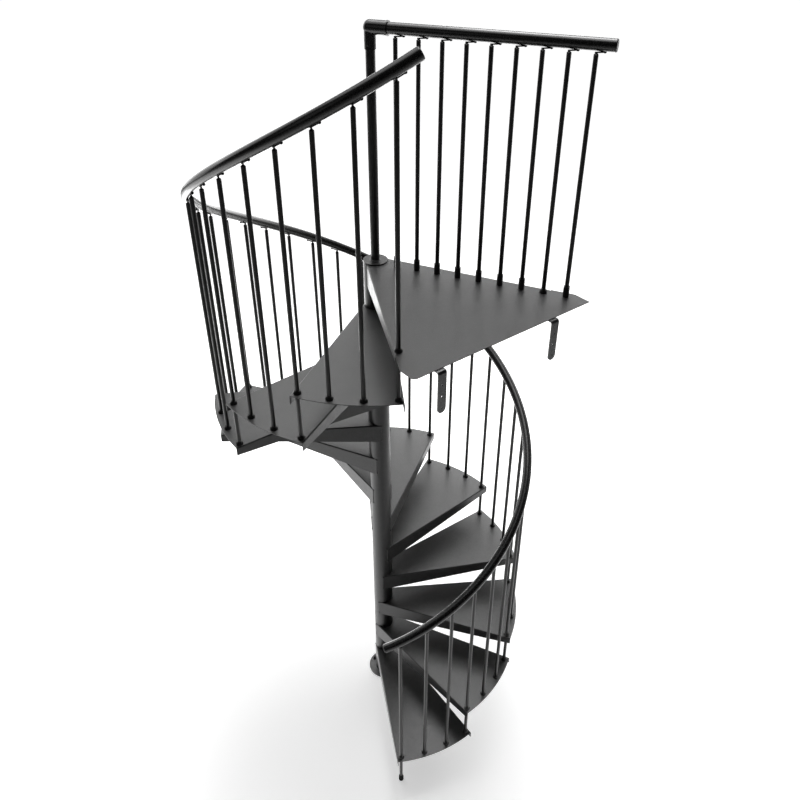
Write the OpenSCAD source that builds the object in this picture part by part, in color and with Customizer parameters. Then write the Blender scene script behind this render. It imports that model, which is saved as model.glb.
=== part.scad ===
// Spiral staircase with twelve folded sheet-steel treads on a central column,
// a triangular landing, balusters in thirds of a tread and a round spiral handrail.
// Frame: the column's axis is the Z axis, the floor is z = 0, the stair climbs
// counter-clockwise seen from above and the landing's outer edge faces -Y.

/* [Stair] */
// Rise from one tread top to the next
riser = 223.3; // [210:0.1:235]
// Radius of the treads' outer edge
tread_radius = 800; // [760:1:900]
// Turn of one tread about the column
tread_turn = 30; // [28:0.5:30]
// Overhang of each tread past its corner balusters, as an angle
tread_overhang = 1.5; // [1:0.1:2]
// Azimuth of the first corner baluster, at the front of the lowest tread
start_azimuth = -120; // [-120:1:-118]

/* [Sheet steel] */
// Thickness of the folded sheet of treads and landing
sheet = 3; // [2:0.5:4]
// Outer radius of the folds
fold_r = 6; // [5:0.5:9]
// Distance of the treads' side edges from the column's axis
side_offset = 57; // [54:0.5:62]
// Depth of a tread's side flange at the column
flange_inner = 106; // [70:1:115]
// Depth of a tread's side flange at the outer corner
flange_outer = 41; // [25:1:60]

/* [Column] */
// Outer diameter of hubs and spacer tubes
column_d = 110; // [88.9:0.1:110]
// Wall of hubs and spacer tubes
column_wall = 3; // [2:0.5:5]
// Height of the tube welded into each tread
hub_h = 116; // [110:1:140]
// Thickness of the ring plates that close a hub
hub_ring = 6; // [4:1:8]
// Outer diameter of the pole inside the column
pole_d = 48.3; // [42.4:0.1:60.3]
// Wall of the pole
pole_wall = 3; // [2:0.5:5]
// Diameter of the base plate
base_d = 200; // [180:1:260]
// Thickness of the base plate
base_t = 8; // [6:1:12]
// Bolt circle of the base plate
base_pcd = 160; // [140:1:175]
// Anchor holes in the base plate
base_bolts = 3; // [3:1:6]
// Diameter of an anchor hole
base_hole_d = 12; // [8:1:14]
// Azimuth of the first anchor hole
base_bolt_azimuth = 110; // [0:1:119]
// Diameter of the disc that clamps the landing's hub
disc_d = 112; // [110:1:130]
// Thickness of that disc
disc_t = 6; // [4:1:10]

/* [Balusters] */
// Diameter of a baluster
baluster_d = 18; // [12:0.5:20]
// Radius of the baluster circle
baluster_r = 772; // [735:1:775]
// Balusters to a tread, counted as thirds of its turn
per_tread = 3; // [3:1:3]
// Height of the spiral rail's axis above the line of the treads
rail_height = 1001; // [880:1:1050]
// Height of the baluster tops above the line of the treads
head_height = 966; // [850:1:1010]
// Diameter of the collars on the treads
collar_d = 33; // [28:1:36]
// Height of the collars
collar_h = 14; // [8:1:20]

/* [Rails] */
// Diameter of the handrails
rail_d = 45; // [33:1:50]
// Start of the spiral rail, in baluster spaces before the first baluster
rail_lead_in = 0.55; // [0:0.05:1]
// End of the spiral rail, in baluster spaces past the last baluster
rail_lead_out = 0.55; // [0:0.05:1]
// Diameter of the newel post on the landing
newel_d = 40; // [30:1:45]
// Height of the landing rail's axis above the landing
landing_rail_height = 979; // [880:1:1050]
// Length of the landing rail from the newel's axis
landing_rail_length = 930; // [900:1:1000]

/* [Landing] */
// Distance of the landing's outer edge from the column's axis
landing_reach = 851; // [820:1:900]
// Half the width of the landing at its outer edge
landing_half_width = 460; // [440:1:480]
// Length of the landing's square ends before its sides turn inward
landing_end = 78; // [40:1:120]
// Distance of the landing's side edges from the column's axis
landing_offset = 44; // [40:0.5:50]
// Depth of the landing's side flanges at the column
landing_flange_inner = 112; // [85:1:115]
// Depth of the landing's side flanges at their outer ends, where they end short of the corners
landing_flange_outer = 30; // [20:1:60]
// Number of balusters along the landing rail
landing_balusters_n = 9; // [6:1:9]
// Spacing of the landing balusters
landing_pitch = 94.3; // [85:0.1:94.5]
// Height of the landing balusters
landing_head = 951; // [850:1:1020]
// Shift of the landing balusters from the rail's plane, towards the landing
landing_shift = 17; // [14:1:20]

/* [Wall brackets] */
// Width of a bracket strap
bracket_w = 40; // [30:1:50]
// Thickness of a bracket strap
bracket_t = 5; // [4:1:8]
// Gap between the landing's edge and the hanging leg
bracket_out = 14; // [10:1:30]
// Outer radius of the bend between strap and leg
bracket_bend = 12; // [8:1:14]
// Length of the hanging leg below the landing's top
bracket_drop = 186; // [180:1:220]
// Spacing of the three bracket holes
bracket_pitch = 50; // [40:1:50]
// Depth of the middle hole below the landing's top
bracket_middle = 113; // [110:1:130]
// Diameter of the middle hole
bracket_hole_d = 9; // [7:0.5:11]
// Diameter of the upper and lower holes
bracket_end_hole_d = 7; // [5:0.5:9]
// Place of the bracket near the lower end of the landing's edge
bracket_left_x = -341; // [-400:1:-250]
// Place of the bracket near the far end of the landing's edge
bracket_right_x = 242; // [200:1:380]

/* [Hidden] */
$fn = 64;
tread_count = 12;
function pad(i) = str(i < 10 ? "0" : "", i);
eps = 0.05;
steel = [0.13, 0.13, 0.14];
steel_light = [0.2, 0.2, 0.21];
rubber = [0.05, 0.05, 0.05];
column_r = column_d / 2;
baluster_radius = baluster_d / 2;
rail_r = rail_d / 2;
space_turn = tread_turn / per_tread;
last_k = tread_count * per_tread;
half_angle = tread_turn / 2 + tread_overhang;
// angle between a tread's middle line and its side edge
side_angle = half_angle - asin(side_offset / tread_radius);
side_length = sqrt(pow(tread_radius, 2) - pow(side_offset, 2));
landing_z = (tread_count + 1) * riser;
rail_slope = atan(riser / per_tread / (baluster_r * space_turn * PI / 180));
pass_hole_d = baluster_d + 0.6;
screw_hole_d = 8.5;
// width of the notch at the end of a fold
relief = 3;
// how far a side flange runs on past the foot of its line at the column
flange_past = 7;
bore_gap = 0.15;
head_chamfer = 3;
pin_d = 6;
strap_w = 12;
strap_t = 3;
strap_l = 38;
foot_d = 28;
foot_h = 40;
foot_sole = 6;
sleeve_d = 26;
sleeve_h = 46;
cap_t = 4;
// azimuth of the landing rail, parallel to the last ray of baluster holes
landing_rail_azimuth = start_azimuth + tread_turn * 2;
landing_kink_r = norm([landing_half_width, landing_reach - landing_end]);
elbow_socket_d = 48;
elbow_socket_drop = 79;
elbow_mouth_d = 57;
elbow_mouth = 76;
elbow_seat = 30;
elbow_body_d = 54;
elbow_ring = 6;
// how far the newel's top stays below the landing rail's axis
newel_stop = 25;

// height of the line of the treads at baluster k
function line_z(k) = (k / per_tread + 1) * riser;
function baluster_azimuth(k) = start_azimuth + k * space_turn;
function ring_point(azimuth, radius, z) = [radius * cos(azimuth), radius * sin(azimuth), z];

// places its children at baluster k, X pointing outward
module at_baluster(k, z) {
    rotate([0, 0, baluster_azimuth(k)]) translate([baluster_r, 0, z]) children();
}

// places its children over tread i, X along its middle line, z = 0 at its top
module at_tread(i) {
    rotate([0, 0, start_azimuth + (i - 0.5) * tread_turn]) translate([0, 0, i * riser]) children();
}

// distance of landing baluster j along the rail, the last but one on the baluster circle
function landing_along(j) = baluster_r - (landing_balusters_n - 2 - j) * landing_pitch;

// places its children at landing baluster j, X along the landing rail
module at_landing_baluster(j, z) {
    rotate([0, 0, landing_rail_azimuth]) translate([landing_along(j), -landing_shift, landing_z + z]) children();
}

// a ring plate or a tube standing on z = 0
module ring(outer_d, inner_d, h) {
    difference() {
        cylinder(d = outer_d, h = h);
        translate([0, 0, -1]) cylinder(d = inner_d, h = h + 2);
    }
}

// what an edge folded down along +X loses: the corner outside its bend and the wedge below its taper
module fold_cut(length, inner_depth, outer_depth) {
    start = -flange_past - fold_r;
    translate([start, 0, 0]) rotate([90, 0, 90]) linear_extrude(length - start + relief / 2) difference() {
        translate([-1, -fold_r]) square([fold_r + 1, fold_r + 1]);
        translate([fold_r - eps, eps - fold_r]) circle(r = fold_r);
    }
    translate([0, sheet + 1, 0]) rotate([90, 0, 0]) linear_extrude(sheet + 2)
        polygon([[start, -inner_depth], [length + relief, -outer_depth],
                 [length + relief, -inner_depth - 1], [start, -inner_depth - 1]]);
}

// the tube of a hub with its two ring plates, its top at z = 0
module hub() {
    bore_r = pole_d / 2 + 0.4;
    wall_r = column_r - column_wall;
    rotate_extrude() polygon([[bore_r, -hub_h], [column_r, -hub_h], [column_r, 0], [bore_r, 0],
        [bore_r, -hub_ring], [wall_r, -hub_ring], [wall_r, hub_ring - hub_h], [bore_r, hub_ring - hub_h]]);
}

// room that a hub takes out of the sheet it is welded to
module hub_room() {
    cylinder(r = column_r - column_wall / 2, h = 4 * hub_h, center = true);
}

// outline between a tread's two sides, moved in by an inset and started back from their feet
module tread_wedge(inset, back) {
    offset_in = side_offset - inset;
    along = [cos(side_angle), sin(side_angle)];
    foot = offset_in * [-sin(side_angle), cos(side_angle)] - back * along;
    far = foot + (tread_radius + 100) * along;
    polygon([foot, [foot[0], -foot[1]], [far[0], -far[1]], far]);
}

// a tread's sheet with both sides folded down, before the hub is welded in
module folded_tread() {
    difference() {
        translate([0, 0, -flange_inner]) linear_extrude(flange_inner) intersection() {
            circle(r = tread_radius, $fn = 180);
            tread_wedge(0, flange_past);
        }
        translate([0, 0, -flange_inner - 1]) linear_extrude(flange_inner + 1 - sheet) tread_wedge(sheet, 20);
        for (side = [0, 1]) mirror([0, side, 0])
            translate(side_offset * [-sin(side_angle), cos(side_angle)]) rotate([0, 0, side_angle])
                mirror([0, 1, 0]) fold_cut(side_length, flange_inner, flange_outer);
        for (n = [0:per_tread])
            rotate([0, 0, n * space_turn - tread_turn / 2]) translate([baluster_r, 0, -sheet - 1])
                cylinder(d = n == 0 ? pass_hole_d : screw_hole_d, h = sheet + 2);
        hub_room();
    }
}

module tread(i) {
    color(steel_light) at_tread(i) {
        folded_tread();
        hub();
    }
}

module base_plate() {
    color(steel) difference() {
        cylinder(d = base_d, h = base_t, $fn = 96);
        for (n = [0:base_bolts - 1])
            rotate([0, 0, base_bolt_azimuth + n * 360 / base_bolts]) translate([base_pcd / 2, 0, -1])
                cylinder(d = base_hole_d, h = base_t + 2);
    }
}

module centre_pole() {
    color(steel) translate([0, 0, base_t]) {
        ring(pole_d, pole_d - 2 * pole_wall, landing_z - base_t);
        translate([0, 0, landing_z - base_t - 10]) cylinder(d = pole_d - 2 * pole_wall + eps, h = 10);
    }
}

module spacer_tubes() {
    inner_d = column_d - 2 * column_wall;
    color(steel) {
        translate([0, 0, base_t]) ring(column_d, inner_d, riser - hub_h - base_t);
        for (i = [1:tread_count]) translate([0, 0, i * riser]) ring(column_d, inner_d, riser - hub_h);
    }
}

module top_disc() {
    color(steel) translate([0, 0, landing_z]) ring(disc_d, newel_d + 2 * bore_gap, disc_t);
}

module newel_post() {
    color(steel) translate([0, 0, landing_z]) cylinder(d = newel_d, h = landing_rail_height - newel_stop);
}

// corner of the landing's side fold on the line through the kink, as [foot, direction angle]
function side_line(kink, offset, side) =
    let (azimuth = atan2(kink[1], kink[0]), turn = side * asin(offset / norm(kink)), angle = azimuth + turn)
    [offset * [side * sin(angle), -side * cos(angle)], angle];

left_kink = [-landing_half_width, landing_end - landing_reach];
right_kink = [landing_half_width, landing_end - landing_reach];
left_side = side_line(left_kink, landing_offset, 1);
right_side = side_line(right_kink, landing_offset, -1);
corner_r = 22;
// the landing's side folds end short of its kinks
fold_stop = 105;
landing_fold = sqrt(pow(landing_kink_r, 2) - pow(landing_offset, 2)) - fold_stop;

// a point on a side line, measured from its foot, and moved in from the edge
function side_point(line, side, along, inward) =
    line[0] + along * [cos(line[1]), sin(line[1])]
    + inward * side * [-sin(line[1]), cos(line[1])];

// the landing's outline from above
module landing_outline() {
    polygon([left_side[0], left_kink, [-landing_half_width, corner_r - landing_reach],
             [corner_r - landing_half_width, -landing_reach], [landing_half_width, -landing_reach],
             right_kink, right_side[0]]);
    translate([corner_r - landing_half_width, corner_r - landing_reach]) circle(r = corner_r);
}

// the room under the landing's sheet, between its side flanges and out past their ends
module landing_room() {
    out = -2 * sheet;
    past = fold_stop * 2;
    step = landing_fold + relief / 2;
    polygon([side_point(left_side, 1, -20, sheet), side_point(left_side, 1, step, sheet),
             side_point(left_side, 1, step, out), side_point(left_side, 1, step + past, out),
             [-landing_half_width * 2, -landing_reach - past], [landing_half_width * 2, -landing_reach - past],
             side_point(right_side, -1, step + past, out), side_point(right_side, -1, step, out),
             side_point(right_side, -1, step, sheet), side_point(right_side, -1, -20, sheet)]);
}

// the cuts along one side fold of the landing: its bend, its taper and the notch at its end
module landing_fold_cut() {
    depth = landing_flange_inner + 1;
    fold_cut(landing_fold, landing_flange_inner, landing_flange_outer);
    translate([landing_fold, -1, -depth]) cube([relief, fold_r + 3, depth + 1]);
}

// the landing's sheet with both sides folded down, notched where the folds end short of the kinks
module folded_landing() {
    difference() {
        translate([0, 0, -landing_flange_inner]) linear_extrude(landing_flange_inner) landing_outline();
        translate([0, 0, -landing_flange_inner - 1])
            linear_extrude(landing_flange_inner + 1 - sheet) landing_room();
        translate(left_side[0]) rotate([0, 0, left_side[1]]) landing_fold_cut();
        translate(right_side[0]) rotate([0, 0, right_side[1]]) mirror([0, 1, 0]) landing_fold_cut();
        rotate([0, 0, baluster_azimuth(last_k)]) translate([baluster_r, 0, -sheet - 1])
            cylinder(d = pass_hole_d, h = sheet + 2);
        for (j = [0:landing_balusters_n - 1])
            rotate([0, 0, landing_rail_azimuth]) translate([landing_along(j), -landing_shift, -sheet - 1])
                cylinder(d = screw_hole_d, h = sheet + 2);
        hub_room();
    }
}

module landing_plate() {
    color(steel_light) translate([0, 0, landing_z]) {
        folded_landing();
        hub();
    }
}

// elbow that joins the newel post to the landing rail
module rail_elbow() {
    color(steel) translate([0, 0, landing_z + landing_rail_height]) difference() {
        union() {
            translate([0, 0, -elbow_socket_drop]) cylinder(d = elbow_socket_d, h = elbow_socket_drop);
            sphere(d = elbow_body_d);
            rotate([0, 90, landing_rail_azimuth]) cylinder(d = elbow_body_d, h = elbow_mouth);
            rotate([0, 90, landing_rail_azimuth]) translate([0, 0, elbow_mouth - elbow_ring])
                cylinder(d = elbow_mouth_d, h = elbow_ring);
        }
        translate([0, 0, -elbow_socket_drop - 1])
            cylinder(d = newel_d + 2 * bore_gap, h = elbow_socket_drop - newel_stop + 1);
        rotate([0, 90, landing_rail_azimuth]) translate([0, 0, elbow_seat])
            cylinder(d = rail_d + 2 * bore_gap, h = elbow_mouth);
    }
}

module landing_rail() {
    color(steel) rotate([0, 0, landing_rail_azimuth])
        translate([elbow_seat, 0, landing_z + landing_rail_height]) rotate([0, 90, 0])
            cylinder(d = rail_d, h = landing_rail_length - elbow_seat);
}

module landing_rail_cap() {
    color(rubber) rotate([0, 0, landing_rail_azimuth])
        translate([landing_rail_length, 0, landing_z + landing_rail_height]) rotate([0, 90, 0])
            cylinder(d1 = rail_d, d2 = rail_d - 3, h = cap_t);
}

// points and faces of the round rail swept along its helix
rail_sides = 20;
rail_steps = 92;
rail_first_k = -rail_lead_in;
rail_last_k = last_k + rail_lead_out;

function rail_k(n) = rail_first_k + n * (rail_last_k - rail_first_k) / rail_steps;
function rail_ring(n) =
    let (k = rail_k(n), azimuth = baluster_azimuth(k), z = line_z(k) + rail_height)
    [for (s = [0:rail_sides - 1])
        let (turn = (s + 0.5) * 360 / rail_sides, out = rail_r * cos(turn), up = rail_r * sin(turn))
        ring_point(azimuth, baluster_r + out, z + up * cos(rail_slope))
            + up * sin(rail_slope) * [sin(azimuth), -cos(azimuth), 0]];

module spiral_rail() {
    points = [for (n = [0:rail_steps]) each rail_ring(n)];
    last = rail_steps * rail_sides;
    sides = [for (n = [0:rail_steps - 1], s = [0:rail_sides - 1])
        let (a = n * rail_sides + s, b = n * rail_sides + (s + 1) % rail_sides)
        [a, a + rail_sides, b + rail_sides, b]];
    start_face = [for (s = [0:rail_sides - 1]) s];
    end_face = [for (s = [rail_sides - 1:-1:0]) last + s];
    color(steel) polyhedron(points, concat(sides, [start_face, end_face]), convexity = 8);
}

// a plug that closes one end of the spiral rail, its axis along the rail
module rail_plug(k, heading) {
    at_baluster(k, line_z(k) + rail_height) rotate([rail_slope - 90 * heading, 0, 0])
        cylinder(d1 = rail_d, d2 = rail_d - 3, h = cap_t);
}

module spiral_rail_caps() {
    color(rubber) {
        rail_plug(rail_first_k, -1);
        rail_plug(rail_last_k, 1);
    }
}

// a baluster between two heights, its top edge chamfered
module baluster(bottom, top) {
    translate([0, 0, bottom]) cylinder(d = baluster_d, h = top - bottom - head_chamfer);
    translate([0, 0, top - head_chamfer])
        cylinder(d1 = baluster_d, d2 = baluster_d - 2 * head_chamfer, h = head_chamfer);
}

// balusters at the treads' corners, each from one tread through the next
module corner_balusters() {
    color(steel) for (i = [0:tread_count])
        at_baluster(i * per_tread, 0)
            baluster(i == 0 ? foot_sole : i * riser, line_z(i * per_tread) + head_height);
}

// balusters between the corners, each standing on one tread
module middle_balusters() {
    color(steel) for (i = [1:tread_count], n = [1:per_tread - 1])
        at_baluster((i - 1) * per_tread + n, 0)
            baluster(i * riser, line_z((i - 1) * per_tread + n) + head_height);
}

// a flared collar round a baluster, standing on a tread
module collar() {
    bore_r = baluster_radius + bore_gap;
    rotate_extrude() polygon([[bore_r, 0], [collar_d / 2, 0], [collar_d / 2, 4],
        [collar_d / 2 - 3, collar_h - 2], [collar_d / 2 - 4, collar_h], [bore_r, collar_h]]);
}

module baluster_collars() {
    color(steel) {
        for (i = [1:tread_count], n = [0:per_tread])
            at_baluster((i - 1) * per_tread + n, i * riser) collar();
        at_baluster(last_k, landing_z) collar();
    }
}

// pin and strap that carry the rail on one baluster, the strap along +Y and climbing by tilt
module clip(rise, tilt) {
    under = rail_r + strap_t / 2;
    cylinder(d = pin_d, h = rise - under / cos(tilt));
    translate([0, 0, rise]) rotate([tilt, 0, 0]) translate([0, -under * tan(tilt), -rail_r - strap_t]) {
        translate([-strap_w / 2, 0, 0]) cube([strap_w, strap_l - strap_w / 2, strap_t]);
        cylinder(d = strap_w, h = strap_t);
        translate([0, strap_l - strap_w / 2, 0]) cylinder(d = strap_w, h = strap_t);
    }
}

module rail_clips() {
    color(steel) for (k = [0:last_k])
        at_baluster(k, line_z(k) + head_height) clip(rail_height - head_height, rail_slope);
}

module leg_foot() {
    color(rubber) at_baluster(0, 0) difference() {
        cylinder(d = foot_d, h = foot_h);
        translate([0, 0, foot_sole]) cylinder(r = baluster_radius + bore_gap, h = foot_h);
    }
}

module landing_balusters() {
    color(steel) for (j = [0:landing_balusters_n - 1]) at_landing_baluster(j, 0) baluster(0, landing_head);
}

// plain tall sleeves at all landing balusters but the one on the baluster circle
module landing_sleeves() {
    color(steel) for (j = [0:landing_balusters_n - 1]) if (j != landing_balusters_n - 2)
        at_landing_baluster(j, 0) ring(sleeve_d, baluster_d + 2 * bore_gap, sleeve_h);
}

module landing_collar() {
    color(steel) at_landing_baluster(landing_balusters_n - 2, 0) collar();
}

// the landing's clips reach from each baluster to the rail beside it, slanting along the rail
module landing_rail_clips() {
    swing = asin(landing_shift / (strap_l - strap_w / 2)) - 90;
    color(steel) for (j = [0:landing_balusters_n - 1]) at_landing_baluster(j, landing_head)
        rotate([0, 0, swing]) clip(landing_rail_height - landing_head, 0);
}

// side view of a wall bracket's strap: under the landing, round the bend and down the leg
module bracket_profile(foot) {
    front = -bracket_out - bracket_t;
    top = -sheet;
    under = 60;
    inner_r = bracket_bend - bracket_t;
    difference() {
        translate([front, foot]) square([under - front, top - foot]);
        translate([front + bracket_t, foot - 1]) square([under - front, top - bracket_bend - foot + 1]);
        translate([front + bracket_bend, foot - 1]) square([under - front, top - bracket_t - foot + 1]);
        translate([front + bracket_bend + eps, top - bracket_bend - eps]) circle(r = inner_r);
        difference() {
            translate([front - 1, top - bracket_bend]) square(bracket_bend + 1);
            translate([front + bracket_bend - eps, top - bracket_bend + eps]) circle(r = bracket_bend);
        }
    }
}

// strap bolted under the landing's edge, its hanging leg rounded at the foot and drilled for the wall
module wall_bracket(x) {
    foot = bracket_w / 2 - bracket_drop;
    color(steel) translate([x, -landing_reach, landing_z]) difference() {
        union() {
            translate([-bracket_w / 2, 0, 0]) rotate([90, 0, 90]) linear_extrude(bracket_w) bracket_profile(foot);
            translate([0, -bracket_out, foot]) rotate([90, 0, 0]) cylinder(d = bracket_w, h = bracket_t);
        }
        for (n = [-1:1])
            translate([0, 1 - bracket_out, n * bracket_pitch - bracket_middle]) rotate([90, 0, 0])
                cylinder(d = n == 0 ? bracket_hole_d : bracket_end_hole_d, h = bracket_t + 2);
    }
}

module wall_bracket_left() { wall_bracket(bracket_left_x); }
module wall_bracket_right() { wall_bracket(bracket_right_x); }

base_plate();
centre_pole();
spacer_tubes();
for (i = [1:tread_count]) tread(i);
landing_plate();
top_disc();
newel_post();
rail_elbow();
landing_rail();
landing_rail_cap();
spiral_rail();
spiral_rail_caps();
corner_balusters();
middle_balusters();
baluster_collars();
rail_clips();
leg_foot();
landing_balusters();
landing_sleeves();
landing_collar();
landing_rail_clips();
wall_bracket_left();
wall_bracket_right();
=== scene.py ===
"""Looks of a spiral staircase: powder-coated folded treads, black balusters and glossy round handrails.

Everything is in metres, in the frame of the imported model: the column is the Z axis, the floor is z = 0,
the stair climbs counter-clockwise seen from above, and the landing's outer edge faces -Y.
"""

import logging
import math
from collections.abc import Sequence
from dataclasses import dataclass
from enum import Enum

import bmesh
import bpy
from bmesh.types import BMesh, BMVert
from bpy.types import NodeSocket, Object
from mathutils import Matrix, Vector


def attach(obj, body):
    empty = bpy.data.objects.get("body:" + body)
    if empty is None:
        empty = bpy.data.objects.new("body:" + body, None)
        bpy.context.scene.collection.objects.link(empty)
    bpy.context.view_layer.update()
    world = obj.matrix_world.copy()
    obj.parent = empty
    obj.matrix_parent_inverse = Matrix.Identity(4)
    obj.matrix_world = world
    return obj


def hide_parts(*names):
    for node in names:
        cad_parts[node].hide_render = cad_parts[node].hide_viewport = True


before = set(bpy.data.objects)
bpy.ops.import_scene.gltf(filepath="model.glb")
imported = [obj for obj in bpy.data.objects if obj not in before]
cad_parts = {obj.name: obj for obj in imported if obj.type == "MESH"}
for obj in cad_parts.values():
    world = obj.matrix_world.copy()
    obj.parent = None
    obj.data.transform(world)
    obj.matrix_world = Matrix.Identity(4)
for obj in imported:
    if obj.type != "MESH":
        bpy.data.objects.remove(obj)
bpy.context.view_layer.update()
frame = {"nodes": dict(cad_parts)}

log = logging.getLogger("staircase")
BODY = "root"
SHARP_ANGLE = math.radians(32)
ON_AXIS = 1e-6
NUMBER, COLOUR = "NodeSocketFloat", "NodeSocketColor"
Feed = float | tuple[float, ...] | NodeSocket
Triple = tuple[float, float, float]
Outline = Sequence[tuple[float, float]]


class Slot(Enum):
    """The record's material slots."""

    TREADS = "tread_coat"
    FRAME = "frame_coat"
    BALUSTERS = "baluster_coat"
    RAILS = "rail_coat"
    CAPS = "cap_plastic"
    FOOT = "foot_rubber"


class Face(Enum):
    """Side of a sheet on which a weld lies."""

    TOP = 1
    UNDERSIDE = -1


@dataclass(frozen=True)
class StairPlan:
    """Sizes that the pieces share, and the places that follow from them."""

    riser: float = 0.2233
    treads: int = 12
    per_tread: int = 3
    tread_turn: float = math.radians(30)
    start: float = math.radians(-120)
    baluster_circle: float = 0.772
    baluster_d: float = 0.018
    column_d: float = 0.110
    sheet: float = 0.003
    rail_d: float = 0.045
    rail_rise: float = 1.001
    head_rise: float = 0.966
    landing_rail_rise: float = 0.979
    newel_d: float = 0.040
    disc_t: float = 0.006
    landing_head: float = 0.951
    landing_balusters: int = 9
    landing_pitch: float = 0.0943
    landing_shift: float = 0.017

    @property
    def last(self) -> int:
        """Number of the last baluster on the spiral."""
        return self.treads * self.per_tread

    @property
    def space_turn(self) -> float:
        """Turn from one baluster to the next."""
        return self.tread_turn / self.per_tread

    @property
    def landing_z(self) -> float:
        """Height of the landing's top."""
        return (self.treads + 1) * self.riser

    @property
    def slope(self) -> float:
        """Slope of the spiral rail."""
        return math.atan(self.riser / self.per_tread / (self.baluster_circle * self.space_turn))

    @property
    def landing_azimuth(self) -> float:
        """Direction of the landing rail, from the column outwards."""
        return self.start + 2 * self.tread_turn

    def line_z(self, k: float) -> float:
        """Height of the line of the treads at baluster k."""
        return (k / self.per_tread + 1) * self.riser

    def azimuth(self, k: float) -> float:
        """Azimuth of baluster k."""
        return self.start + k * self.space_turn

    def at_baluster(self, k: float, z: float) -> Matrix:
        """Frame at baluster k and height z, X outwards and Y along the climb."""
        turn = Matrix.Rotation(self.azimuth(k), 4, "Z")
        return turn @ Matrix.Translation((self.baluster_circle, 0, z))

    def at_tread(self, number: int) -> Matrix:
        """Frame of a tread, X along its middle line and z = 0 at its top."""
        turn = Matrix.Rotation(self.start + (number - 0.5) * self.tread_turn, 4, "Z")
        return turn @ Matrix.Translation((0, 0, number * self.riser))

    def at_landing_baluster(self, j: int, z: float) -> Matrix:
        """Frame at a landing baluster, X along the landing rail.

        Args:
            j: number of the baluster, counted from the newel.
            z: height above the landing.

        Returns:
            The frame as a matrix.
        """
        along = self.baluster_circle - (self.landing_balusters - 2 - j) * self.landing_pitch
        turn = Matrix.Rotation(self.landing_azimuth, 4, "Z")
        return turn @ Matrix.Translation((along, -self.landing_shift, self.landing_z + z))


PLAN = StairPlan()


# Shader graphs


def grey(value: float) -> tuple[float, float, float, float]:
    """A neutral colour."""
    return (value, value, value, 1.0)


class Graph:
    """A short way to write a node tree."""

    def __init__(self, tree: bpy.types.NodeTree) -> None:
        """Keeps the tree that the nodes go into."""
        self.tree = tree

    def node(
        self, kind: str, label: str, inputs: dict[str | int, Feed] | None = None, **settings: object
    ) -> bpy.types.Node:
        """Adds a node.

        Args:
            kind: Blender's name of the node type.
            label: what the node is for.
            inputs: name or number of an input to what it takes.
            settings: attributes of the node and their values.

        Returns:
            The new node.
        """
        made = self.tree.nodes.new(kind)
        made.label = label
        for name, value in settings.items():
            setattr(made, name, value)
        for name, value in (inputs or {}).items():
            self.feed(value, made.inputs[name])
        return made

    def feed(self, value: Feed, target: NodeSocket) -> None:
        """Gives an input its value.

        Args:
            value: number, colour, or socket to link.
            target: the input.
        """
        if isinstance(value, NodeSocket):
            self.tree.links.new(value, target)
        else:
            target.default_value = value

    def maths(self, operation: str, label: str, *values: Feed) -> NodeSocket:
        """A Math node's result from numbers or sockets, in order."""
        return self.node("ShaderNodeMath", label, dict(enumerate(values)), operation=operation).outputs[0]

    def noise(self, label: str, vector: NodeSocket, per_metre: Feed, detail: float) -> NodeSocket:
        """A noise pattern from 0 to 1, by its fineness and its octaves."""
        inputs = {"Vector": vector, "Scale": per_metre, "Detail": detail}
        return self.node("ShaderNodeTexNoise", label, inputs).outputs["Fac"]

    def blend(self, label: str, share: Feed, first: Feed, second: Feed) -> NodeSocket:
        """Mixes two colours.

        Args:
            label: what the result is.
            share: share of the second colour.
            first: colour at no share.
            second: colour at full share.

        Returns:
            The mixed colour's socket.
        """
        made = self.node("ShaderNodeMix", label, data_type="RGBA")
        colours = [s for s in made.inputs if s.type == "RGBA"]
        for socket, value in zip((made.inputs["Factor"], *colours), (share, first, second)):
            self.feed(value, socket)
        return next(s for s in made.outputs if s.type == "RGBA")

    def ramp(self, label: str, value: NodeSocket, ends: tuple[float, ...]) -> NodeSocket:
        """Adds a smooth ramp.

        Args:
            label: what the ramp gives.
            value: the socket it reads.
            ends: where it starts and ends, and its values there.

        Returns:
            The ramp's result.
        """
        names = ("From Min", "From Max", "To Min", "To Max")
        inputs = {"Value": value, **dict(zip(names, ends))}
        return self.node("ShaderNodeMapRange", label, inputs, interpolation_type="SMOOTHSTEP").outputs[0]


def new_group(name: str, inputs: dict[str, Feed], outputs: dict[str, str]) -> Graph:
    """Starts a node group with named inputs and outputs.

    Args:
        name: name of the group.
        inputs: name to number or colour.
        outputs: name to socket type.

    Returns:
        The group's graph.
    """
    tree = bpy.data.node_groups.new(name, "ShaderNodeTree")
    for label, value in inputs.items():
        kind = COLOUR if isinstance(value, tuple) else NUMBER
        tree.interface.new_socket(label, in_out="INPUT", socket_type=kind).default_value = value
    for label, kind in outputs.items():
        tree.interface.new_socket(label, in_out="OUTPUT", socket_type=kind)
    return Graph(tree)


def emptied(owner: bpy.types.Material | bpy.types.World) -> Graph:
    """Takes every node out of a material or world.

    Args:
        owner: the material or world.

    Returns:
        Its empty graph.
    """
    owner.use_nodes = True
    owner.node_tree.nodes.clear()
    return Graph(owner.node_tree)


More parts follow.
